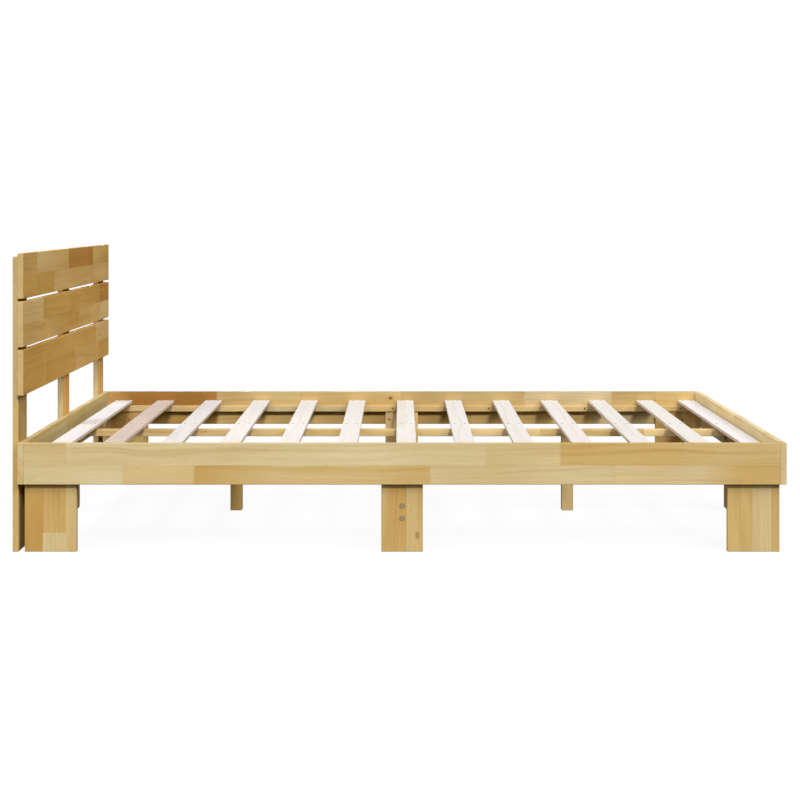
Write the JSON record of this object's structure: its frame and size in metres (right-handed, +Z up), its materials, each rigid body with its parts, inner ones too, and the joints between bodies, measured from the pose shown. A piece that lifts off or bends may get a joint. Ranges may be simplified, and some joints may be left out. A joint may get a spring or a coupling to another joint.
{
  "type": "bed frame",
  "caption": "Double bed frame in light oak: plank rails on board legs, pale slats on side battens and a centre beam, and a low headboard of horizontal planks on posts.",
  "frame": {"origin": "on the floor, under the centre of the bounding box", "axes": "+X from the headboard to the foot, +Y to the right as seen from the foot, +Z up"},
  "size_m": [2.048, 1.432, 0.791],
  "materials": {
    "oak": "satin oiled light oak",
    "pine": "matt whitened pine",
    "steel": "zinc plated",
    "beech": "plain"
  },
  "bodies": {
    "root": {"side_rail_left": "oak", "side_rail_right": "oak", "head_rail": "oak", "foot_rail": "oak", "slat_batten_left": "oak", "slat_batten_right": "oak", "centre_beam": "oak", "corner_leg_head_left": "oak", "corner_leg_head_right": "oak", "corner_leg_foot_left": "oak", "corner_leg_foot_right": "oak", "corner_brace_head_left": "oak", "corner_brace_head_right": "oak", "corner_brace_foot_left": "oak", "corner_brace_foot_right": "oak", "side_leg_left": "oak", "side_leg_right": "oak", "head_leg": "oak", "foot_leg": "oak", "centre_leg_head": "oak", "centre_leg_middle": "oak", "centre_leg_foot": "oak", "cross_rail": "oak", "slat_packers": "oak", "headboard_post_left": "oak", "headboard_post_middle": "oak", "headboard_post_right": "oak", "headboard_board_lower": "oak", "headboard_board_middle": "oak", "headboard_board_upper": "oak", "slat_01": "pine", "slat_02": "pine", "slat_03": "pine", "slat_04": "pine", "slat_05": "pine", "slat_06": "pine", "slat_07": "pine", "slat_08": "pine", "slat_09": "pine", "slat_10": "pine", "slat_11": "pine", "slat_12": "pine", "slat_13": "pine", "slat_screws": "steel", "batten_screws": "steel", "leg_screws": "steel", "post_screws": "steel", "headboard_screws": "steel", "centre_leg_screws": "steel", "cross_rail_bolts": "steel", "barrel_nuts": "steel", "leg_dowels": "beech", "beam_dowels": "beech"}
  },
  "joints": []
}
